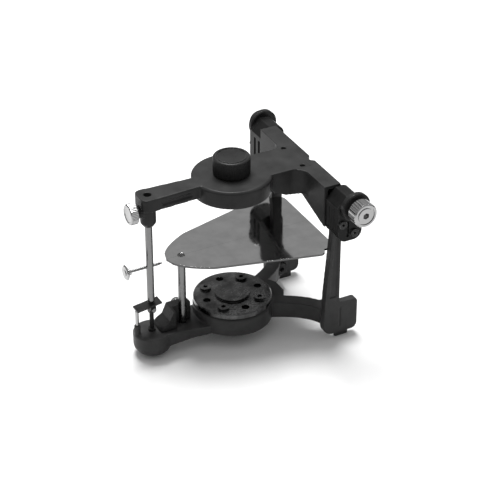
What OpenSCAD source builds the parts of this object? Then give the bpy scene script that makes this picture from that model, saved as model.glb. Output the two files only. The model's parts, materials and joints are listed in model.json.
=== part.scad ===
// Average-value dental articulator: a lower member with two rear posts, an upper member that
// opens about the condyle balls, an incisal pin and table, and an occlusal plane plate.
// Millimetres. +Z up, -Y is the front (the incisal side), x = 0 is the plane of symmetry.
// The origin is the centre of the footprint, on the bench.

/* [Reference geometry] */
// Distance of the condylar hinge axis behind the origin
hinge_y = 60; // [56:1:64]
// Height of the condylar hinge axis above the bench
hinge_z = 116; // [114:1:118]
// Distance between the centres of the two condyle balls
intercondylar = 110; // [108:1:112]
// Distance from the hinge axis forward to the incisal pin
pin_reach = 118; // [116:1:119]
// Distance from the hinge axis forward to the axis of the mounting plates
mount_reach = 57; // [55:1:59]
// Slope of the condylar guide below the horizontal
condylar_slope = 30; // [20:1:35]
// Travel of the upper member along the condylar guide
protrusion = 3; // [2:0.5:4.5]

/* [Lower member] */
// Radius of the lower disc
lower_disc_r = 27.5; // [26:0.5:29]
// Height of the top of the lower disc
lower_disc_z = 24.5; // [22:0.5:26]
// Radius of the round front foot
foot_r = 13; // [12:0.5:14]
// Height of the top of the front foot
foot_z = 18; // [16:0.5:20]
// Height of the three rubber pads
pad_h = 2.5; // [2:0.5:3]
// Distance from the plane of symmetry to the inner face of a rear post
post_x = 38.5; // [38:0.5:39]
// Thickness of a rear post across the articulator
post_w = 5.5; // [5:0.5:6]
// Rearmost point of the heels behind the origin
heel_y = 76.5; // [74:0.5:78]

/* [Upper member] */
// Radius of the upper disc
upper_disc_r = 27; // [26:0.5:28]
// Height of the top of the upper member
upper_z = 124; // [123:0.5:125]
// Thickness of the upper disc
upper_disc_h = 13; // [11:0.5:14]
// Half width of the front arm where it leaves the disc
arm_half_w = 6.5; // [6:0.5:8]
// Outer face of the condylar housings, from the plane of symmetry
housing_x = 62; // [61:0.5:63]
// Outer face of the tall right lock knob, from the plane of symmetry
knob_x = 77.5; // [76:0.5:80]
// Radius of the right lock knob
lock_knob_r = 8.5; // [7:0.5:9]
// Outer face of the low left lock knob, from the plane of symmetry
low_knob_x = 70.3; // [69.5:0.1:72]
// Outer end of the left lock knob's centre stud, from the plane of symmetry
low_stud_x = 75.2; // [75:0.1:76]

/* [Mounting hardware] */
// Radius of the upper mounting knob
top_knob_r = 12.5; // [11:0.5:14]
// Height of the upper mounting knob
top_knob_h = 12.5; // [10:0.5:14]
// Radius of the lower mounting plate
lower_plate_r = 27; // [24:0.5:27]
// Thickness of the lower mounting plate
lower_plate_h = 6; // [4:0.5:7]
// Radius of the upper mounting plate
upper_plate_r = 20; // [16:0.5:20]

/* [Incisal pin and table] */
// Diameter of the incisal pin
pin_d = 5; // [4:0.5:5]
// Height of the rounded lower end of the incisal pin
pin_tip_z = 40.4; // [40:0.1:42]
// Height of the midline pointer
pointer_z = 69; // [66:0.5:72]
// Slope of the incisal table, rising to the rear
table_slope = 8; // [0:1:12]

/* [Occlusal plane plate] */
// Height of the top of the occlusal plane plate
plate_z = 71; // [68:0.5:74]
// Thickness of the occlusal plane plate
plate_t = 1.4; // [1:0.1:2]
// Length of the occlusal plane plate
plate_l = 107.5; // [100:0.5:108]
// Half width of the plate in front of the posts
plate_half_w = 42.5; // [38:0.5:44]
// Distance from the hinge axis forward to the support rod
rod_reach = 95; // [92:1:98]
// Diameter of the support rod
rod_d = 5.4; // [4:0.1:6]

/* [Hidden] */

$fn = 64;
eps = 0.01;
fit = 0.05;
gap = 0.5;
hair = 0.02;

pin_y = hinge_y - pin_reach;
mount_y = hinge_y - mount_reach;
rod_y = hinge_y - rod_reach;
ball_x = intercondylar / 2;
ball_r = 3.5;
slider_r = 4.9;
slide_y = -protrusion * cos(condylar_slope);
slide_z = -protrusion * sin(condylar_slope);
lower_plate_z = lower_disc_z + lower_plate_h;
upper_under_z = upper_z - upper_disc_h;
post_out_x = post_x + post_w;

// ---------------------------------------------------------------- shapes used more than once

// Both a shape and its mirror image across the plane of symmetry
module both_sides() {
    children();
    mirror([1, 0, 0]) children();
}

// A shape drawn for the right side, placed on the side given: 1 right, -1 left
module on_side(side) {
    if (side > 0) children();
    else mirror([1, 0, 0]) children();
}

// Disc whose two rims are chamfered
module chamfered_disc(r, h, chamfer) {
    rotate_extrude()
        polygon([[0, 0], [r - chamfer, 0], [r, chamfer], [r, h - chamfer], [r - chamfer, h], [0, h]]);
}

// Cylinder along +X from x0 to x1, about the line y, z
module rod_x(r, x0, x1, y, z) {
    translate([x0, y, z]) rotate([0, 90, 0]) cylinder(r = r, h = x1 - x0);
}

// Cylinder along +Y from y0 to y1, about the line x, z
module rod_y(r, x, y0, y1, z) {
    translate([x, y0, z]) rotate([-90, 0, 0]) cylinder(r = r, h = y1 - y0);
}

// Knurled head along +Z with a chamfered rim and straight flutes
module fluted_head(r, h, count, depth) {
    difference() {
        chamfered_disc(r, h, 0.8);
        for (i = [0 : count - 1])
            rotate(i * 360 / count)
                translate([r, 0, h / 2])
                    rotate(45)
                        cube([depth * 1.4, depth * 1.4, h + 1], center = true);
    }
}

// Hexagonal socket cut down from the face at z = 0
module hex_socket(across, depth) {
    translate([0, 0, -depth]) cylinder(r = across / sqrt(3), h = depth + 1, $fn = 6);
}

// Rectangle from corner a to corner b with rounded corners
module round_rect(a, b, r) {
    translate(a + [r, 0]) square([b[0] - a[0] - 2 * r, b[1] - a[1]]);
    translate(a + [0, r]) square([b[0] - a[0], b[1] - a[1] - 2 * r]);
    for (x = [a[0] + r, b[0] - r], y = [a[1] + r, b[1] - r])
        translate([x, y]) circle(r);
}

// Concave fillet that fills the corner at the origin of the first quadrant
module fillet(r) {
    difference() {
        translate([-eps, -eps]) square(r + eps);
        translate([r, r]) circle(r);
    }
}

// Profile drawn in the Y-Z plane, given a thickness from x0 to x1
module slab_x(x0, x1) {
    translate([x0, 0, 0])
        rotate([90, 0, 90])
            linear_extrude(x1 - x0) children();
}

// Profile drawn in the X-Z plane, given a thickness from y0 to y1
module slab_y(y0, y1) {
    translate([0, y1, 0])
        rotate([90, 0, 0])
            linear_extrude(y1 - y0) children();
}

// ---------------------------------------------------------------- lower member

foot_round = 7;
frame_base_z = 11.7;
lug_y0 = 51;
lug_y1 = 61;
post_front_y = 50.3;
post_head_r = 4.5;
column_y1 = 62.3;
heel_z = 4.2;
heel_top_z = 28.5;
heel_pad_y0 = 60.5;
heel_pad_y1 = 71;
arm_w = 10;
arm_start = [8, 16];
arm_bend = [19, 48];
arm_end = [36.5, 55];
arm_steps = 16;
screw_z = 17.5;
screw_r = 2.5;

// Point on the arm's centre line, a quadratic curve from the disc to the post
function arm_point(t) =
    (1 - t) * (1 - t) * arm_start + 2 * t * (1 - t) * arm_bend + t * t * arm_end;
function arm_tangent(t) = 2 * (1 - t) * (arm_bend - arm_start) + 2 * t * (arm_end - arm_bend);
function arm_side(t, w) =
    let (d = arm_tangent(t) / norm(arm_tangent(t))) arm_point(t) + w / 2 * [-d[1], d[0]];

module lower_arm_outline() {
    polygon([
        for (i = [0 : arm_steps]) arm_side(i / arm_steps, arm_w),
        for (i = [arm_steps : -1 : 0]) arm_side(i / arm_steps, -arm_w)
    ]);
}

module lower_frame_outline() {
    translate([0, mount_y]) circle(lower_disc_r);
    polygon([[-15, 24], [15, 24], [13, 36], [6, 40], [-6, 40], [-13, 36]]);
    both_sides() {
        lower_arm_outline();
        translate([28, lug_y0]) square([post_x - 28, lug_y1 - lug_y0]);
    }
}

// Round foot with a rounded lower edge
module foot_solid() {
    translate([0, pin_y, pad_h - 0.5])
        rotate_extrude()
            union() {
                square([foot_r - foot_round, foot_z - pad_h + 0.5]);
                translate([0, foot_round]) square([foot_r, foot_z - pad_h + 0.5 - foot_round - 1]);
                translate([0, foot_round]) square([foot_r - 1, foot_z - pad_h + 0.5 - foot_round]);
                translate([foot_r - 1, foot_z - pad_h - 0.5]) circle(1);
                intersection() {
                    translate([foot_r - foot_round, foot_round]) circle(foot_round);
                    square([foot_r, foot_round]);
                }
            }
}

// Tongue from the foot to the disc, whose underside rises to meet the disc
module tongue() {
    intersection() {
        linear_extrude(foot_z)
            polygon([
                [-10.5, pin_y], [10.5, pin_y], [12, rod_y + 2], [15, rod_y + 14],
                [-15, rod_y + 14], [-12, rod_y + 2]
            ]);
        slab_x(-20, 20)
            polygon([[pin_y, 7.5], [rod_y + 14, frame_base_z], [rod_y + 14, foot_z], [pin_y, foot_z]]);
    }
}

module lower_frame() {
    color([0.09, 0.09, 0.10])
    difference() {
        union() {
            translate([0, 0, frame_base_z]) linear_extrude(lower_disc_z - frame_base_z - 1)
                lower_frame_outline();
            translate([0, mount_y, frame_base_z])
                chamfered_disc(lower_disc_r, lower_disc_z - frame_base_z, 1);
            foot_solid();
            tongue();
            // boss around the table's adjusting screw
            translate([0, adjust_y, foot_z - 6])
                cylinder(r = adjust_boss_r, h = adjust_boss_z - foot_z + 6 - 0.4);
            translate([0, adjust_y, adjust_boss_z - 0.4 - eps])
                cylinder(r1 = adjust_boss_r, r2 = adjust_boss_r - 0.4, h = 0.4 + eps);
        }
        // hollow underside of the tongue and disc
        translate([0, mount_y, 0]) cylinder(r = 10, h = frame_base_z + 2.5);
        // stud hole for the mounting plate
        translate([0, mount_y, 0]) cylinder(r = 3 + fit, h = 40);
        // hole for the support rod
        translate([0, rod_y, 0]) cylinder(r = rod_d / 2 + 0.1, h = 40);
        // hole for the incisal table's stem, and the threaded hole of its adjusting screw
        translate([0, pin_y, pad_h + 6]) cylinder(r = stem_r + fit, h = 30);
        translate([0, adjust_y, -1]) cylinder(r = adjust_r + fit, h = 40);
        // holes for the screws that hold the posts
        both_sides() {
            rod_x(screw_r + 0.1, 20, post_x + 1, 55.5, screw_z);
            rod_x(4.6, 15, 30, 55.5, screw_z);
        }
        // recess for the foot pad
        translate([0, pin_y, 0]) cylinder(r = 6.2, h = pad_h + 0.5);
        // screw hole of the rod socket
        translate([0, rod_y - 9, 0]) cylinder(r = 1.6, h = 40);
    }
}

module front_foot_pad() {
    color([0.06, 0.06, 0.06])
    translate([0, pin_y, 0]) rotate_extrude()
        polygon([[0, 0], [5.4, 0], [6.1, 0.7], [6.1, pad_h + 0.5], [0, pad_h + 0.5]]);
}

module heel_pads() {
    color([0.06, 0.06, 0.06])
    both_sides()
        linear_extrude(heel_z)
            round_rect([post_x + 0.5, heel_pad_y0], [post_out_x - 2, heel_pad_y1], 1.4);
}

// Post in side view: heel at the rear, a column that narrows upwards, and a round head
module post_profile() {
    difference() {
        union() {
            polygon([
                [post_front_y, heel_z], [heel_y, heel_z], [heel_y, heel_top_z],
                [column_y1, heel_top_z], [column_y1, hinge_z], [hinge_y - post_head_r, hinge_z],
                [55.2, 82], [51.5, 38], [post_front_y, 14]
            ]);
            translate([hinge_y, hinge_z]) circle(post_head_r);
            translate([column_y1, heel_top_z]) fillet(3);
        }
        translate([heel_y, heel_top_z]) rotate(180) fillet(2.5);
        translate([heel_y, heel_z]) rotate(90) fillet(4.5);
        translate([post_front_y, heel_z]) fillet(7.5);
    }
}

module post(side) {
    color([0.10, 0.10, 0.11])
    on_side(side)
        difference() {
            slab_x(post_x, post_out_x) post_profile();
            rod_x(3 + 0.02, post_x + 1, post_out_x + 1, hinge_y, hinge_z);
            rod_x(screw_r, post_x - 1, post_out_x - 1.5, 55.5, screw_z);
            // shallow channel down the outer face of the column
            slab_x(post_out_x - 0.8, post_out_x + 1)
                polygon([[54.6, 34], [60.2, 34], [60.2, 104], [57.8, 104], [57.4, 82]]);
            // groove that sets off the heel from the column
            slab_x(post_out_x - 0.6, post_out_x + 1)
                round_rect([column_y1, 9], [column_y1 + 1.4, 25], 0.6);
        }
}

module post_screws() {
    color([0.30, 0.30, 0.31])
    both_sides()
        difference() {
            union() {
                rod_x(screw_r - 0.05, 30, post_out_x - 2, 55.5, screw_z);
                rod_x(4.2, 25.5, 30, 55.5, screw_z);
            }
            translate([25.5, 55.5, screw_z]) rotate([0, -90, 0]) hex_socket(3.5, 2.2);
        }
}

// Ball on a short shaft that is pressed into the head of a post
module condyle(side) {
    color([0.78, 0.79, 0.80])
    on_side(side) {
        rod_x(3, post_x + 1.5, post_out_x, hinge_y, hinge_z);
        rod_x(2.5, post_out_x - eps, ball_x, hinge_y, hinge_z);
        translate([ball_x, hinge_y, hinge_z]) sphere(r = ball_r);
    }
}

module lower_mounting_plate() {
    color([0.60, 0.61, 0.62])
    difference() {
        union() {
            translate([0, mount_y, lower_disc_z]) chamfered_disc(lower_plate_r, lower_plate_h - 1.5, 0.8);
            translate([0, mount_y, lower_plate_z - 1.5 - eps]) cylinder(r = 12, h = 1.5 + eps);
            for (a = [45 : 90 : 315])
                translate([0, mount_y, lower_plate_z - 1.5 - eps])
                    rotate(a) translate([19.5, 0, 0]) cylinder(r = 4, h = 1.5 + eps);
        }
        translate([0, mount_y, 0]) cylinder(r = 2.4, h = lower_plate_z - 1.5);
        for (a = [0 : 90 : 270])
            translate([0, mount_y, lower_disc_z + 2]) rotate(a) translate([19.5, 0, 0])
                cylinder(r = 2.6, h = 10);
        for (a = [45 : 90 : 315])
            translate([0, mount_y, lower_disc_z + 2]) rotate(a) translate([19.5, 0, 0])
                cylinder(r = 1.5, h = 10);
    }
}

module lower_mounting_nut() {
    color([0.12, 0.12, 0.13])
    translate([0, mount_y, 4]) {
        fluted_head(9, frame_base_z + 2.5 - 4 - 0.3, 20, 0.5);
        cylinder(r = 3, h = lower_disc_z - 4 - 0.3);
        cylinder(r = 2.3, h = lower_plate_z - 3 - 4);
    }
}

// ---------------------------------------------------------------- incisal table

table_pivot_z = pin_tip_z - 3.9;
table_half_w = 4;
table_front = 11.5;
table_l = 18.3;
adjust_y = pin_y - table_front + 0.8;
adjust_r = 1.25;
adjust_boss_r = 2.2;
adjust_boss_z = 25.5;
stem_r = 1.5;

module incisal_table_stem() {
    color([0.16, 0.16, 0.17])
    difference() {
        translate([0, pin_y, 0]) {
            translate([0, 0, pad_h + 6.5]) cylinder(r = stem_r, h = table_pivot_z - pad_h - 6.5);
            translate([0, 0, foot_z]) cylinder(r = 2.6, h = 1.8);
            translate([-2, -2, table_pivot_z - 4]) cube([4, 4, 4]);
            rod_x(2, -2, 2, 0, table_pivot_z);
        }
        translate([0, pin_y, 0]) rod_x(1 + fit, -5, 5, 0, table_pivot_z);
    }
}

// Narrow plate on two ears that straddle the stem
module incisal_table() {
    color([0.11, 0.11, 0.12])
    translate([0, pin_y, table_pivot_z]) rotate([table_slope, 0, 0])
        difference() {
            union() {
                translate([-table_half_w, -table_front, 2.4]) cube([2 * table_half_w, table_l, 1.1 - eps]);
                translate([-table_half_w, -table_front, 2.4]) cube([2 * table_half_w, 5, 1.1]);
                both_sides() {
                    translate([2.4, -2, 0]) cube([1.6, 4, 3]);
                    rod_x(2, 2.4, 4, 0, 0);
                }
            }
            rod_x(1.02, -6, 6, 0, 0);
        }
}

module table_hinge_pin() {
    color([0.70, 0.71, 0.72])
    translate([0, pin_y, 0]) {
        rod_x(1, -4.5, 4.5, 0, table_pivot_z);
        both_sides() rod_x(1.5, 4.3, 5, 0, table_pivot_z);
    }
}

// Height of the underside of the table above the adjusting screw
adjust_tip_z = table_pivot_z - table_front * sin(table_slope) + 2.4 * cos(table_slope);

module table_adjusting_screw() {
    color([0.75, 0.76, 0.77])
    translate([0, adjust_y, 0])
        difference() {
            union() {
                translate([0, 0, 7]) cylinder(r = adjust_r, h = adjust_tip_z - adjust_r - 0.15 - 7);
                translate([0, 0, adjust_tip_z - adjust_r - 0.15]) sphere(r = adjust_r);
            }
            translate([-2, -0.3, 6]) cube([4, 0.6, 2]);
        }
}

// ---------------------------------------------------------------- occlusal plane plate

socket_z = 32;
socket_half_w = 7;
tongue_s = 24;
tongue_k = 4.9;
shoulder_r = 4.5;
rear_half_w = post_x - 0.8;
notch_y = 52.6;
plate_front_y = hinge_y + 1.5 - plate_l;

// Wedge in front of the support rod, whose rear part holds the rod in a half-round seat
module rod_socket() {
    color([0.13, 0.13, 0.14])
    difference() {
        intersection() {
            translate([0, 0, foot_z])
                linear_extrude(socket_z - foot_z)
                    round_rect([-socket_half_w, rod_y - 20], [socket_half_w, rod_y + 6], 3);
            slab_x(-20, 20)
                polygon([
                    [rod_y - 19.5, foot_z], [rod_y - 17.5, foot_z + 3.5], [rod_y - 12.5, foot_z + 6.5],
                    [rod_y - 9.2, socket_z], [rod_y + 6, socket_z], [rod_y + 6, foot_z]
                ]);
        }
        translate([0.3, rod_y - 8, foot_z - 1]) cube([2 * socket_half_w, 30, socket_z - foot_z + 2]);
        translate([0, rod_y, 0]) cylinder(r = rod_d / 2 + fit, h = 60);
        rod_x(1.75, -20, 0, rod_y, socket_z - 5);
        translate([0, rod_y - 9, 0]) cylinder(r = 1.6, h = foot_z + 8);
    }
}

module rod_set_screw() {
    color([0.72, 0.73, 0.74])
    translate([-rod_d / 2 - 0.3, rod_y, socket_z - 5])
        rotate([0, -90, 0]) {
            cylinder(r = 1.7, h = 6.5);
            translate([0, 0, 5.4]) fluted_head(3.6, 4, 16, 0.3);
        }
}

module support_rod() {
    color([0.66, 0.67, 0.68])
    translate([0, rod_y, 0])
        difference() {
            translate([0, 0, 5]) cylinder(r = rod_d / 2, h = plate_z - plate_t - 5);
            translate([0, 0, plate_z - plate_t - 10]) cylinder(r = 1.25 + fit, h = 20);
        }
}

// Half outline: a rounded nose, straight flanks, and a tail that passes between the posts
function plate_half() = [
    for (s = [0 : 2 : tongue_s]) [tongue_k * sqrt(s), plate_front_y + s],
    for (a = [0 : 15 : 90])
        [plate_half_w - shoulder_r + shoulder_r * cos(a), notch_y - shoulder_r + shoulder_r * sin(a)],
    [rear_half_w, notch_y],
    for (a = [0 : 15 : 90])
        [rear_half_w - 6 + 6 * cos(a), plate_front_y + plate_l - 6 + 6 * sin(a)]
];

module occlusal_plate() {
    color([0.62, 0.63, 0.64])
    difference() {
        translate([0, 0, plate_z - plate_t])
            linear_extrude(plate_t)
                both_sides() polygon(concat(plate_half(), [[-eps, plate_front_y + plate_l], [-eps, plate_front_y]]));
        translate([0, rod_y, plate_z - plate_t - 1]) cylinder(r = 1.35, h = 10);
        translate([0, rod_y, plate_z - 1]) cylinder(r1 = 1.35, r2 = 2.7, h = 1 + eps);
    }
}

module plate_screw() {
    color([0.50, 0.50, 0.51])
    translate([0, rod_y, 0])
        difference() {
            union() {
                translate([0, 0, plate_z - 9]) cylinder(r = 1.25, h = 8.5);
                translate([0, 0, plate_z - 1 + 0.05]) cylinder(r1 = 1.25, r2 = 2.5, h = 0.9);
            }
            translate([-3, -0.35, plate_z - 0.55]) cube([6, 0.7, 2]);
        }
}

// ---------------------------------------------------------------- condylar housings

housing_y0 = 49;
housing_y1 = 66.5;
housing_z0 = 90;
housing_top = 122.3;
housing_x0 = post_out_x + gap;
cap_t = 2.5;
slider_x0 = 50.5;
cap_holes = [[52, 103.5], [60.8, 95.5]];
boss_x1 = 66.5;
low_knob_r = 7.6;
low_stud_r = 2.4;

module condylar_sliders() {
    color([0.80, 0.80, 0.76])
    both_sides()
        difference() {
            rod_x(slider_r, slider_x0, housing_x - cap_t - 0.3, hinge_y, hinge_z);
            rod_x(ball_r + fit, slider_x0 - 1, housing_x, hinge_y, hinge_z);
        }
}

// Space swept by a round part as it runs along the condylar guide; its flat sides are a hair
// inside the round ends
module guide_track(r, x0, x1) {
    rod_x(r, x0, x1, hinge_y, hinge_z);
    rod_x(r, x0, x1, hinge_y + slide_y, hinge_z + slide_z);
    translate([0, hinge_y, hinge_z])
        rotate([condylar_slope, 0, 0])
            translate([x0, -protrusion, hair - r]) cube([x1 - x0, protrusion, 2 * (r - hair)]);
}

module housing_profile() {
    difference() {
        round_rect([housing_y0, housing_z0], [housing_y1, housing_top], 6);
        translate([housing_y0, housing_top]) rotate(-45) square([9.9, 22], center = true);
    }
}

module housing(side) {
    color([0.10, 0.10, 0.11])
    on_side(side)
        difference() {
            slab_x(housing_x0, housing_x - cap_t) housing_profile();
            guide_track(slider_r + fit, slider_x0 - 0.3, housing_x);
            guide_track(2.9, housing_x0 - 1, slider_x0);
            for (p = cap_holes)
                rod_x(1.3, housing_x - cap_t - 8, housing_x, p[0], p[1]);
            // two shallow flutes down the front face
            for (x = [housing_x0 + 4, housing_x0 + 10])
                translate([x, housing_y0 - 0.6, housing_z0 + 6]) cylinder(r = 1.6, h = 16);
        }
}

module housing_cap(side) {
    color([0.12, 0.12, 0.13])
    on_side(side)
        difference() {
            union() {
                slab_x(housing_x - cap_t, housing_x) housing_profile();
                rod_x(5, housing_x - eps, boss_x1, hinge_y, hinge_z);
            }
            rod_x(3 + fit, housing_x - cap_t - 1, boss_x1 + 1, hinge_y, hinge_z);
            // groove down the outer face
            slab_x(housing_x - 1, housing_x + 1) round_rect([55, 93], [57, 105], 0.9);
            for (p = cap_holes) {
                rod_x(1.5, housing_x - cap_t - 1, housing_x + 1, p[0], p[1]);
                rod_x(3.1, housing_x - 1, housing_x + 1, p[0], p[1]);
            }
        }
}

module cap_screws() {
    color([0.34, 0.34, 0.35])
    both_sides()
        for (p = cap_holes)
            difference() {
                union() {
                    rod_x(1.2, housing_x - cap_t - 7, housing_x, p[0], p[1]);
                    rod_x(2.8, housing_x - 1, housing_x + 1.2, p[0], p[1]);
                }
                translate([housing_x + 1.2, p[0], p[1]]) rotate([0, 90, 0]) hex_socket(2, 1.2);
            }
}

module dial(side) {
    color([0.20, 0.20, 0.21])
    on_side(side)
        translate([housing_x, hinge_y, hinge_z]) rotate([0, 90, 0])
            difference() {
                chamfered_disc(10.2, boss_x1 - housing_x - 0.4, 0.7);
                translate([0, 0, -1]) cylinder(r = 5.02, h = 20);
            }
}

// Tall chrome knob on the right side
module right_knob() {
    color([0.82, 0.83, 0.84])
    translate([0, hinge_y, hinge_z]) rotate([0, 90, 0])
        difference() {
            union() {
                translate([0, 0, housing_x - cap_t + 0.2]) cylinder(r = 3, h = 10);
                translate([0, 0, boss_x1 + 0.3]) cylinder(r = 5.6, h = 3);
                translate([0, 0, boss_x1 + 2])
                    fluted_head(lock_knob_r, knob_x - boss_x1 - 2, 30, 0.45);
            }
            translate([0, 0, knob_x]) hex_socket(4, 3);
            translate([0, 0, knob_x - 0.6]) difference() {
                cylinder(r = 6.4, h = 1);
                translate([0, 0, -1]) cylinder(r = 5.4, h = 3);
            }
        }
}

// Low dark knob with a short centre stud on the left side
module left_knob() {
    color([0.14, 0.14, 0.15])
    on_side(-1)
        translate([0, hinge_y, hinge_z]) rotate([0, 90, 0])
            difference() {
                union() {
                    translate([0, 0, housing_x - cap_t + 0.2]) cylinder(r = 3, h = 8);
                    translate([0, 0, boss_x1 + 0.3])
                        fluted_head(low_knob_r, low_knob_x - boss_x1 - 0.3, 28, 0.4);
                    translate([0, 0, low_knob_x - 1])
                        chamfered_disc(low_stud_r, low_stud_x - low_knob_x + 1, 0.5);
                }
                translate([0, 0, low_stud_x]) hex_socket(2, 2.5);
            }
}

// ---------------------------------------------------------------- upper member

bar_y0 = 51;
bar_y1 = 60;
bar_z0 = 111;
bar_top = 123.5;
bar_end_x = post_x - 0.7;
web_y0 = 48;
web_y1 = 50.8;
neck_half_w = 15;
head_half_w = 8;
head_front = pin_y - 6.5;
arm_t = 9;
boss_r = 5.3;
boss_z = 100.5;
clamp_z = 112.5;

// Front view of the deep web that joins the crossbar to the two housings
module web_profile() {
    polygon([
        [-housing_x0, bar_top], [housing_x0, bar_top], [housing_x0, 93.4], [14, 103],
        [-14, 103], [-housing_x0, 93.4]
    ]);
}

// Side view of the neck between the disc and the crossbar, deeper to the rear
module neck_profile() {
    polygon([[mount_y, upper_z], [bar_y1 - 6, upper_z], [bar_y1 - 6, bar_top - 1],
             [web_y1, 103], [36, 105.5], [24, upper_under_z], [mount_y, upper_under_z]]);
}

module upper_frame() {
    color([0.09, 0.09, 0.10])
    difference() {
        union() {
            translate([0, mount_y, upper_under_z]) chamfered_disc(upper_disc_r, upper_disc_h, 1.2);
            // front arm, widening to the head that grips the pin
            translate([0, 0, upper_z - arm_t]) linear_extrude(arm_t - eps)
                polygon([
                    [-head_half_w, pin_y], [head_half_w, pin_y], [head_half_w, pin_y + 5],
                    [arm_half_w, mount_y - 25], [arm_half_w, mount_y - 15],
                    [-arm_half_w, mount_y - 15], [-arm_half_w, mount_y - 25],
                    [-head_half_w, pin_y + 5]
                ]);
            translate([0, 0, upper_z - arm_t]) linear_extrude(arm_t)
                round_rect([-head_half_w, head_front], [head_half_w, pin_y + 5], 3.5);
            // boss around the pin, and the lug of its clamp screw
            translate([0, pin_y, boss_z + 3]) cylinder(r = boss_r, h = upper_z - arm_t - boss_z);
            translate([0, pin_y, boss_z]) cylinder(r1 = boss_r - 2, r2 = boss_r, h = 3 + eps);
            rod_y(4.2, 0, head_front - 1, pin_y, clamp_z);
            // neck and crossbar
            slab_x(-neck_half_w, neck_half_w) neck_profile();
            translate([0, 0, 106]) linear_extrude(bar_top - 106)
                both_sides() translate([neck_half_w, web_y0]) rotate(-90) fillet(9);
            translate([-bar_end_x, bar_y0 - 1, bar_z0])
                cube([2 * bar_end_x, bar_y1 - bar_y0 + 1, bar_top - bar_z0]);
            translate([-housing_x0, web_y0, hinge_z + 5])
                cube([2 * housing_x0, bar_y1 - web_y0, bar_top - hinge_z - 5]);
            slab_y(web_y0, web_y1) web_profile();
        }
        // stud hole with a shallow seat for the knob
        translate([0, mount_y, 100]) cylinder(r = 3 + fit, h = 40);
        // pin hole, and the threaded hole of its clamp screw
        translate([0, pin_y, 90]) cylinder(r = pin_d / 2 + fit, h = 50);
        rod_y(2.1, 0, head_front - 2, pin_y, clamp_z);
        // grooves along both sides of the front arm
        both_sides()
            translate([head_half_w - 1, pin_y + 7, upper_z - 6.4])
                rotate(atan((head_half_w - arm_half_w) / (mount_y - 30 - pin_y)))
                    cube([3, 22, 3]);
        // notch in the rear edge of the crossbar, and two blind holes in the neck
        translate([6.5, bar_y1 + 0.8, bar_z0 - 1]) cylinder(r = 3.4, h = 20);
        both_sides()
            translate([13.2, 49, upper_z - 2]) cylinder(r = 1.7, h = 5);
    }
}

module upper_mounting_stud() {
    color([0.66, 0.67, 0.68])
    translate([0, mount_y, upper_under_z - 2.5])
        cylinder(r = 3, h = upper_disc_h + 2.5 + 8);
}

module upper_mounting_knob() {
    color([0.10, 0.10, 0.11])
    translate([0, mount_y, upper_z + 0.3])
        difference() {
            union() {
                fluted_head(top_knob_r, top_knob_h, 36, 0.5);
                translate([0, 0, top_knob_h - eps]) difference() {
                    cylinder(r = 10.6, h = 0.5);
                    translate([0, 0, -1]) cylinder(r = 9.4, h = 3);
                }
            }
            translate([0, 0, -1]) cylinder(r = 3 + fit, h = 9);
        }
}

module upper_mounting_plate() {
    color([0.60, 0.61, 0.62])
    difference() {
        translate([0, mount_y, upper_under_z - 3.5]) chamfered_disc(upper_plate_r, 3.5, 0.5);
        translate([0, mount_y, upper_under_z - 2.5]) cylinder(r = 3 + 0.02, h = 10);
        for (a = [0 : 60 : 300])
            translate([0, mount_y, upper_under_z - 5]) rotate(a) translate([13, 0, 0])
                cylinder(r = 2.2, h = 4);
    }
}

module pin_clamp_screw() {
    color([0.80, 0.81, 0.82])
    translate([0, pin_y - pin_d / 2 - 0.3, clamp_z])
        rotate([90, 0, 0]) {
            cylinder(r = 2, h = 8);
            translate([0, 0, 6.2]) fluted_head(7.2, 5.5, 28, 0.4);
        }
}

module incisal_pin() {
    color([0.70, 0.71, 0.72])
    translate([0, pin_y, 0])
        difference() {
            union() {
                translate([0, 0, pin_tip_z + pin_d / 2]) sphere(r = pin_d / 2);
                translate([0, 0, pin_tip_z + pin_d / 2])
                    cylinder(r = pin_d / 2, h = upper_z - 3 - pin_tip_z - pin_d / 2);
            }
            rod_y(1 + fit, 0, -10, 10, pointer_z);
        }
}

pointer_tip_y = plate_front_y + slide_y - 0.3;
pointer_front_y = -heel_y;

module pointer_rod() {
    color([0.70, 0.71, 0.72]) {
        rod_y(1, 0, pointer_front_y + 1, pointer_tip_y - 3, pointer_z);
        translate([0, pointer_tip_y - 3 - eps, pointer_z]) rotate([-90, 0, 0])
            cylinder(r1 = 1, r2 = 0.3, h = 3);
    }
}

module pointer_knob() {
    color([0.80, 0.81, 0.82])
    translate([0, pointer_front_y + 2, pointer_z])
        rotate([90, 0, 0])
            difference() {
                union() {
                    fluted_head(5.4, 1.6, 24, 0.3);
                    translate([0, 0, -2.5]) cylinder(r = 2.2, h = 3);
                    cylinder(r = 2.2, h = 2);
                }
                translate([0, 0, -5]) cylinder(r = 1.02, h = 6);
            }
}

// ---------------------------------------------------------------- placed parts

lower_frame();
front_foot_pad();
heel_pads();
post(-1);  // left_post
post(1);  // right_post
post_screws();
condyle(-1);  // left_condyle
condyle(1);  // right_condyle
lower_mounting_plate();
lower_mounting_nut();
incisal_table_stem();
incisal_table();
table_hinge_pin();
table_adjusting_screw();
rod_socket();
rod_set_screw();
support_rod();
occlusal_plate();
plate_screw();
condylar_sliders();
upper_frame();
housing(-1);  // left_housing
housing(1);  // right_housing
housing_cap(-1);  // left_housing_cap
housing_cap(1);  // right_housing_cap
cap_screws();
dial(-1);  // left_dial
dial(1);  // right_dial
left_knob();  // left_lock_knob
right_knob();  // right_lock_knob
upper_mounting_knob();
upper_mounting_stud();
upper_mounting_plate();
pin_clamp_screw();
incisal_pin();
pointer_rod();
pointer_knob();
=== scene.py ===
"""Visual model of a dental articulator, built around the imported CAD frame.

Everything is in metres in the frame's own axes: +Z up, -Y to the front, x = 0 in the plane of
symmetry. Castings are rounded copies of their CAD nodes, two knurled heads are turned in mesh code,
and the other nodes keep their CAD shape and get a procedural material.
"""
import json
import math

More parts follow.
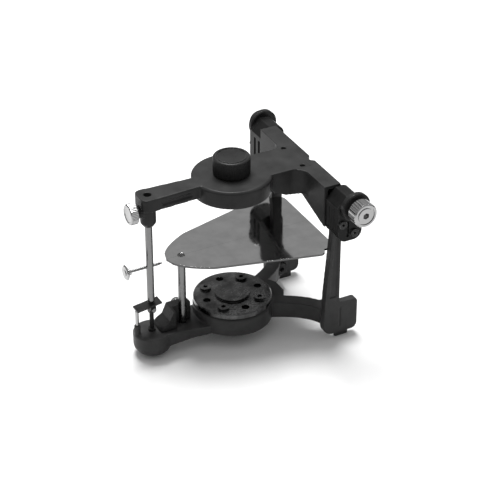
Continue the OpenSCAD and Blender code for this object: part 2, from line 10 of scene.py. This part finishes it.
import bmesh
import bpy
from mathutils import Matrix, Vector


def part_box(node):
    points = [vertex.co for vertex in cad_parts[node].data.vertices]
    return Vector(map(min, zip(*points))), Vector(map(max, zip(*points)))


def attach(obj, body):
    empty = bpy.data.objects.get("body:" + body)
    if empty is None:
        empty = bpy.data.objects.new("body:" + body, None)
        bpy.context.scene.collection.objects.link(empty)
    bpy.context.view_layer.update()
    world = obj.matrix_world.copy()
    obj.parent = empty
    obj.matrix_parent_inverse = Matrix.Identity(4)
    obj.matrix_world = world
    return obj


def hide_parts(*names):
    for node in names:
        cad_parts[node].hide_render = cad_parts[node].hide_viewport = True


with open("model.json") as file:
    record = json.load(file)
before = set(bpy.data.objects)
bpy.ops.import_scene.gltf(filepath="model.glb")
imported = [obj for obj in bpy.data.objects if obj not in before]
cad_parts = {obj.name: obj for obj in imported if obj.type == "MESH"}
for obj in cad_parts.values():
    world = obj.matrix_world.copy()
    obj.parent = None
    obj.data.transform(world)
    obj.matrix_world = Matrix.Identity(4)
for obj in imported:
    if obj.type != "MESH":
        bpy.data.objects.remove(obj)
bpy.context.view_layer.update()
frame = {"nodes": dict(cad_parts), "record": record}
NODES = frame["nodes"]
BODY_OF = {
    node: body
    for body, members in frame["record"]["behaviour"]["bodies"].items()
    for node in members
}
SLOT_OF = {entry["node"]: entry["material_slot"] for entry in frame["record"]["subparts"]}
MM = 0.001
BEVEL_SAMPLES = 6


# ---------------------------------------------------------------- materials


class Shader:
    """A material under construction: a Principled surface and the nodes that feed it."""

    def __init__(self, name, **sockets):
        self.material = bpy.data.materials.new(name)
        self.material.use_nodes = True
        self.tree = self.material.node_tree
        self.surface = self.tree.nodes["Principled BSDF"]
        for socket, value in sockets.items():
            self.surface.inputs[socket.replace("_", " ")].default_value = value
        self.place = self.add("ShaderNodeTexCoord").outputs["Object"]

    def add(self, kind, **settings):
        """A node, with its properties set."""
        node = self.tree.nodes.new(kind)
        for key, value in settings.items():
            setattr(node, key, value)
        return node

    def join(self, source, target):
        self.tree.links.new(source, target)

    def noise(self, per_mm, detail=4.0, stretch=(1, 1, 1)):
        """Noise with that many features per millimetre, stretched along the object's axes."""
        place = self.place
        if stretch != (1, 1, 1):
            mapping = self.add("ShaderNodeMapping")
            mapping.inputs["Scale"].default_value = stretch
            self.join(place, mapping.inputs["Vector"])
            place = mapping.outputs["Vector"]
        texture = self.add("ShaderNodeTexNoise")
        texture.inputs["Scale"].default_value = per_mm / MM
        texture.inputs["Detail"].default_value = detail
        self.join(place, texture.inputs["Vector"])
        return texture.outputs["Fac"]

    def spread(self, value, low, high, start=0.3, end=0.7):
        """A value from start to end, mapped to low to high and clamped."""
        node = self.add("ShaderNodeMapRange")
        node.inputs["From Min"].default_value = start
        node.inputs["From Max"].default_value = end
        node.inputs["To Min"].default_value = low
        node.inputs["To Max"].default_value = high
        self.join(value, node.inputs["Value"])
        return node.outputs["Result"]

    def math(self, operation, a, b):
        node = self.add("ShaderNodeMath", operation=operation)
        for socket, value in zip(node.inputs, (a, b)):
            if isinstance(value, float):
                socket.default_value = value
            else:
                self.join(value, socket)
        return node.outputs["Value"]

    def blend(self, mask, low, high):
        """Colour low where the mask is 0, high where it is 1; either may be a socket."""
        node = self.add("ShaderNodeMix", data_type="RGBA")
        self.join(mask, node.inputs["Factor"])
        for socket, value in ((node.inputs[6], low), (node.inputs[7], high)):
            if isinstance(value, tuple):
                socket.default_value = (*value, 1.0)
            else:
                self.join(value, socket)
        return node.outputs[2]

    def edges(self, radius_mm):
        """1 on sharp edges and 0 on flats, from how far a rounded normal leans."""
        rounded = self.add("ShaderNodeBevel", samples=BEVEL_SAMPLES)
        rounded.inputs["Radius"].default_value = radius_mm * MM
        plain = self.add("ShaderNodeNewGeometry").outputs["Normal"]
        lean = self.add("ShaderNodeVectorMath", operation="DOT_PRODUCT")
        self.join(rounded.outputs["Normal"], lean.inputs[0])
        self.join(plain, lean.inputs[1])
        return self.spread(lean.outputs["Value"], 1.0, 0.0, start=0.86, end=0.985)

    def upright(self):
        """1 on faces that stand upright and 0 on level ones."""
        parts = self.add("ShaderNodeSeparateXYZ")
        self.join(self.add("ShaderNodeNewGeometry").outputs["True Normal"], parts.inputs[0])
        return self.spread(self.math("ABSOLUTE", parts.outputs["Z"], 0.0), 1.0, 0.0)

    def relief(self, height, depth_mm, edge_mm=0.0):
        """Bump from a height, over edges rounded by edge_mm."""
        bump = self.add("ShaderNodeBump")
        bump.inputs["Distance"].default_value = depth_mm * MM
        self.join(height, bump.inputs["Height"])
        if edge_mm:
            rounded = self.add("ShaderNodeBevel", samples=BEVEL_SAMPLES)
            rounded.inputs["Radius"].default_value = edge_mm * MM
            self.join(rounded.outputs["Normal"], bump.inputs["Normal"])
        self.join(bump.outputs["Normal"], self.surface.inputs["Normal"])

    def feed(self, socket, value):
        self.join(value, self.surface.inputs[socket])


def coated_metal(name, dark, light, worn, rough, edge_mm, wear):
    """Dark coating with a fine texture, uneven gloss, and bare metal where edges have rubbed."""
    shader = Shader(name, Specular_IOR_Level=0.12)
    cloud = shader.noise(0.09, detail=3.0)
    grain = shader.noise(2.6, detail=5.0)
    chips = shader.spread(shader.noise(0.7, detail=6.0), 0.0, 1.0, start=0.45, end=0.62)
    rub = shader.math("MULTIPLY", shader.edges(0.5), chips)
    rub = shader.math("MULTIPLY", rub, wear)
    coat = shader.blend(shader.spread(cloud, 0.0, 1.0), (dark,) * 3, (light,) * 3)
    shader.feed("Base Color", shader.blend(rub, coat, (worn,) * 3))
    uneven = shader.spread(cloud, rough - 0.05, rough + 0.06)
    speck = shader.spread(grain, -0.04, 0.04)
    shader.feed("Roughness", shader.math("ADD", uneven, speck))
    shader.feed("Metallic", shader.math("MULTIPLY", rub, 0.8))
    shader.relief(grain, 0.035, edge_mm)
    return shader.material


def polished_metal(name, tone, rough, stretch, edge_mm, scratch_mm, painted_shade_tone, dull):
    """Bright metal with fine marks that follow the way it was turned or ground.

    A side tone darkens the upright faces: painted shade, for an edge that stands in shadow.
    Smears take the tone down to dull times its value.
    """
    shader = Shader(name, Metallic=1.0)
    marks = shader.noise(1.2, detail=6.0, stretch=stretch)
    smears = shader.noise(0.12, detail=3.0)
    color = shader.blend(shader.spread(smears, 0.0, 1.0), (tone * dull,) * 3, (tone,) * 3)
    # painted shade: the upright faces take the darker side tone
    if painted_shade_tone:
        color = shader.blend(shader.upright(), color, (painted_shade_tone,) * 3)
    shader.feed("Base Color", color)
    film = shader.spread(smears, rough * 0.75, rough * 1.35)
    lines = shader.spread(marks, -0.03, 0.05)
    shader.feed("Roughness", shader.math("ADD", film, lines))
    shader.relief(marks, scratch_mm, edge_mm)
    return shader.material


def moulded(name, tone, rough, edge_mm, grain_mm):
    """Rubber or nylon: a soft uneven matt surface."""
    shader = Shader(name, Specular_IOR_Level=0.4)
    cloud = shader.noise(0.3, detail=3.0)
    grain = shader.noise(4.0, detail=4.0)
    shader.feed(
        "Base Color",
        shader.blend(shader.spread(cloud, 0.0, 1.0), (tone * 0.8,) * 3, (tone * 1.15,) * 3),
    )
    shader.feed("Roughness", shader.spread(grain, rough - 0.08, rough + 0.08))
    shader.relief(grain, grain_mm, edge_mm)
    return shader.material


# Dark tone, light tone, bare tone, roughness, rounded edge in millimetres, wear
COATED = {
    "black_casting": (0.018, 0.028, 0.22, 0.34, 0.0, 0.3),
    # the next row is the casting finish made lighter: painted fill light for the lower castings
    "casting_with_painted_fill": (0.028, 0.042, 0.24, 0.36, 0.0, 0.3),
    "black_anodised": (0.005, 0.009, 0.25, 0.34, 0.0, 0.3),
    "black_satin": (0.013, 0.02, 0.25, 0.3, 0.25, 0.4),
    "dark_screw": (0.02, 0.05, 0.35, 0.30, 0.15, 0.7),
}
# Tone, roughness, stretch of the marks, rounded edge and depth of the scratches in millimetres,
# tone of the upright faces, which paints shade on them, and how far smears dull the tone
POLISHED = {
    "chrome": (0.4, 0.14, (1, 1, 1), 0.12, 0.001, None, 0.88),
    "steel_rod": (0.2, 0.22, (1, 1, 0.05), 0.15, 0.002, None, 0.88),
    # plate_metal's 0.1 on its upright faces is painted shade for the plate's edge
    "plate_metal": (0.46, 0.06, (1, 0.05, 1), 0.2, 0.0006, 0.1, 0.85),
    "mounting_plate_metal": (0.12, 0.22, (1, 0.1, 1), 0.25, 0.001, None, 0.25),
}
# Tone, roughness, rounded edge and depth of the grain in millimetres
MOULDED = {
    "rubber": (0.02, 0.7, 0.3, 0.03),
    "nylon": (0.62, 0.45, 0.2, 0.01),
}
MATERIALS = {}
for build, finishes in ((coated_metal, COATED), (polished_metal, POLISHED), (moulded, MOULDED)):
    for finish, values in finishes.items():
        MATERIALS[finish] = build(finish, *values)

# The lower castings get a lighter copy of the casting finish, painted light standing in for fill on
# them, and the housings are darker than both
FINISH_OF = {
    **SLOT_OF,
    **dict.fromkeys(("lower_frame", "left_post", "right_post"), "casting_with_painted_fill"),
    **dict.fromkeys(("left_housing", "right_housing"), "black_anodised"),
    **dict.fromkeys(("left_housing_cap", "right_housing_cap"), "black_anodised"),
}


# ---------------------------------------------------------------- mesh helpers


def finish_piece(piece, node):
    """The piece rides with the node's body, wears the node's finish and stands for it."""
    piece.data.materials.clear()
    piece.data.materials.append(MATERIALS[FINISH_OF[node]])
    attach(piece, BODY_OF[node])
    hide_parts(node)
    return piece


def cast_piece(node, voxel_mm, rounds):
    """Rounded copy of a CAD casting: remeshed evenly, then smoothed so that edges soften."""
    piece = bpy.data.objects.new(node + "_cast", NODES[node].data.copy())
    bpy.context.scene.collection.objects.link(piece)
    remesh = piece.modifiers.new("even", "REMESH")
    remesh.mode = "VOXEL"
    remesh.voxel_size = voxel_mm * MM
    remesh.use_smooth_shade = True
    smooth = piece.modifiers.new("soften", "SMOOTH")
    smooth.factor = 0.5
    smooth.iterations = rounds
    graph = bpy.context.evaluated_depsgraph_get()
    mesh = bpy.data.meshes.new_from_object(piece.evaluated_get(graph))
    piece.modifiers.clear()
    piece.data = mesh
    for polygon in mesh.polygons:
        polygon.use_smooth = True
    return finish_piece(piece, node)


# Voxel size in millimetres and rounds of smoothing for each casting
CASTINGS = {
    "upper_frame": (0.5, 5),
    "lower_frame": (0.5, 5),
    "left_post": (0.4, 4),
    "right_post": (0.4, 4),
    "left_housing": (0.35, 4),
    "right_housing": (0.35, 4),
    "rod_socket": (0.35, 4),
}


def base_centre(node, axis):
    """Middle of the face of a node's box that the axis points away from, in millimetres."""
    low, high = (Vector(corner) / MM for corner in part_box(node))
    middle = (low + high) / 2
    for index, lean in enumerate(axis):
        if lean:
            middle[index] = low[index] if lean > 0 else high[index]
    return middle


STEPS_PER_TOOTH = 6
CREASE = math.radians(35)


def turned_piece(node, axis, profile, teeth, depth_mm):
    """Knurled head turned about an axis, from the base of its CAD node's box.

    The profile lists (radius, height, knurled) from one end of the axis to the other, in
    millimetres, with knurled 1 where the teeth are cut and 0 elsewhere.
    """
    base = base_centre(node, axis)
    mesh = bmesh.new()
    steps = teeth * STEPS_PER_TOOTH
    rings = []
    for radius, height, knurled in profile:
        if radius == 0:
            rings.append([mesh.verts.new((0, 0, height * MM))])
            continue
        ring = []
        for step in range(steps):
            turn = 2 * math.pi * step / steps
            cut = knurled * depth_mm * (0.5 - 0.5 * math.cos(teeth * turn))
            reach = (radius - cut) * MM
            place = (reach * math.cos(turn), reach * math.sin(turn), height * MM)
            ring.append(mesh.verts.new(place))
        rings.append(ring)
    for low, high in zip(rings, rings[1:]):
        for step in range(steps):
            corners = [low[step % len(low)], low[(step + 1) % len(low)]]
            corners += [high[(step + 1) % len(high)], high[step % len(high)]]
            mesh.faces.new(dict.fromkeys(corners))
    bmesh.ops.recalc_face_normals(mesh, faces=mesh.faces)
    stand = Vector(axis).to_track_quat("Z", "Y").to_matrix().to_4x4()
    stand.translation = Vector(base) * MM
    bmesh.ops.transform(mesh, matrix=stand, verts=mesh.verts)
    data = bpy.data.meshes.new(node + "_turned")
    mesh.to_mesh(data)
    mesh.free()
    for polygon in data.polygons:
        polygon.use_smooth = True
    data.set_sharp_from_angle(angle=CREASE)
    piece = bpy.data.objects.new(node + "_turned", data)
    bpy.context.scene.collection.objects.link(piece)
    return finish_piece(piece, node)


# Domed knob with a raised ring on its crown, hollow below for the stud
TOP_KNOB = [
    (0, 8, 0), (3.05, 8, 0), (3.05, 0, 0), (11.6, 0, 0), (12.1, 0.3, 0), (12.4, 0.9, 0),
    (12.5, 1.5, 1), (12.5, 11.2, 1), (12.4, 11.7, 0), (12.0, 12.2, 0), (11.4, 12.5, 0),
    (10.6, 12.5, 0), (10.5, 12.85, 0), (10.3, 13, 0), (9.7, 13, 0), (9.5, 12.85, 0),
    (9.4, 12.4, 0), (8.6, 12.3, 0), (0, 12.3, 0),
]
# Clamp screw: shank, thumb head and a shallow dished face
CLAMP_SCREW = [
    (0, 0, 0), (1.6, 0, 0), (2, 0.4, 0), (2, 6.2, 0), (6.4, 6.2, 0), (7.0, 6.5, 0), (7.2, 7.1, 1),
    (7.2, 10.6, 1), (7.0, 11.2, 0), (6.4, 11.7, 0), (5.4, 11.7, 0), (5.0, 11.3, 0), (0, 11.0, 0),
]

# Axis, profile, number of teeth and their depth in millimetres for each turned head
TURNED = {
    "upper_mounting_knob": ((0, 0, 1), TOP_KNOB, 72, 0.3),
    "pin_clamp_screw": ((0, -1, 0), CLAMP_SCREW, 44, 0.3),
}

for node, (voxel, rounds) in CASTINGS.items():
    cast_piece(node, voxel, rounds)

for node, shape in TURNED.items():
    turned_piece(node, *shape)

for node, cad in NODES.items():
    if node not in CASTINGS and node not in TURNED:
        cad.data.materials.clear()
        cad.data.materials.append(MATERIALS[FINISH_OF[node]])


# ---------------------------------------------------------------- stage, light and camera

FLOOR_HALF = 6.0
KEY_PLACE = (-0.33, 0.07, 1.2)
KEY_SIZE = 0.6
KEY_WATTS = 22
LIGHT_TARGET = (0, 0, 0.06)
# Brightness of the studio against height, from the horizon (0) to straight up (1)
PANELS = ((0.0, 0.12), (0.35, 0.5), (0.65, 0.5), (0.85, 0.65), (1.0, 0.65))

AZIMUTH = math.radians(62.4)
ELEVATION = math.radians(32.4)
TARGET = Vector((0.0318, 0.0, 0.0825))
DISTANCE = 1.18
LENS_MM = 129.6
SENSOR_MM = 36.0

VIEW = Vector(
    (
        -math.sin(AZIMUTH) * math.cos(ELEVATION),
        math.cos(AZIMUTH) * math.cos(ELEVATION),
        -math.sin(ELEVATION),
    )
)


def aim(thing, target):
    """Turns a camera or light so that it looks at the target."""
    toward = Vector(target) - thing.location
    thing.rotation_euler = toward.to_track_quat("-Z", "Y").to_euler()


def make_camera():
    camera = bpy.data.objects.new("camera", bpy.data.cameras.new("camera"))
    camera.data.lens = LENS_MM
    camera.data.sensor_width = SENSOR_MM
    camera.data.clip_end = 20
    camera.location = TARGET - VIEW * DISTANCE
    aim(camera, TARGET)
    bpy.context.scene.collection.objects.link(camera)
    bpy.context.scene.camera = camera


def make_floor():
    mesh = bpy.data.meshes.new("floor")
    half = FLOOR_HALF
    corners = [(-half, -half, 0), (half, -half, 0), (half, half, 0), (-half, half, 0)]
    mesh.from_pydata(corners, [], [(0, 1, 2, 3)])
    floor = bpy.data.objects.new("floor", mesh)
    bpy.context.scene.collection.objects.link(floor)
    shader = Shader("floor", Roughness=0.9)
    paper = shader.noise(0.05, detail=3.0)
    shader.feed(
        "Base Color",
        shader.blend(shader.spread(paper, 0.0, 1.0), (0.77,) * 3, (0.79,) * 3),
    )
    mesh.materials.append(shader.material)


def make_key():
    """One soft round light, high and a little behind, that throws the shadow to the near side."""
    light = bpy.data.objects.new("key", bpy.data.lights.new("key", "AREA"))
    light.data.shape = "DISK"
    light.data.size = KEY_SIZE
    light.data.energy = KEY_WATTS
    light.location = KEY_PLACE
    bpy.context.scene.collection.objects.link(light)
    aim(light, LIGHT_TARGET)


def make_studio():
    """Soft panels all the way round, dim at the horizon and brighter above it."""
    world = bpy.data.worlds.new("studio")
    world.use_nodes = True
    nodes = world.node_tree.nodes
    links = world.node_tree.links
    parts = nodes.new("ShaderNodeSeparateXYZ")
    links.new(nodes.new("ShaderNodeTexCoord").outputs["Generated"], parts.inputs[0])
    panels = nodes.new("ShaderNodeValToRGB")
    ramp = panels.color_ramp.elements
    for height, _ in PANELS[1:-1]:
        ramp.new(height)
    for element, (_, strength) in zip(ramp, PANELS):
        element.color = (strength, strength, strength, 1.0)
    links.new(parts.outputs["Z"], panels.inputs["Fac"])
    links.new(panels.outputs["Color"], nodes["Background"].inputs["Color"])
    bpy.context.scene.world = world
    bpy.context.scene.view_settings.view_transform = "Standard"


make_floor()
make_key()
make_studio()
make_camera()
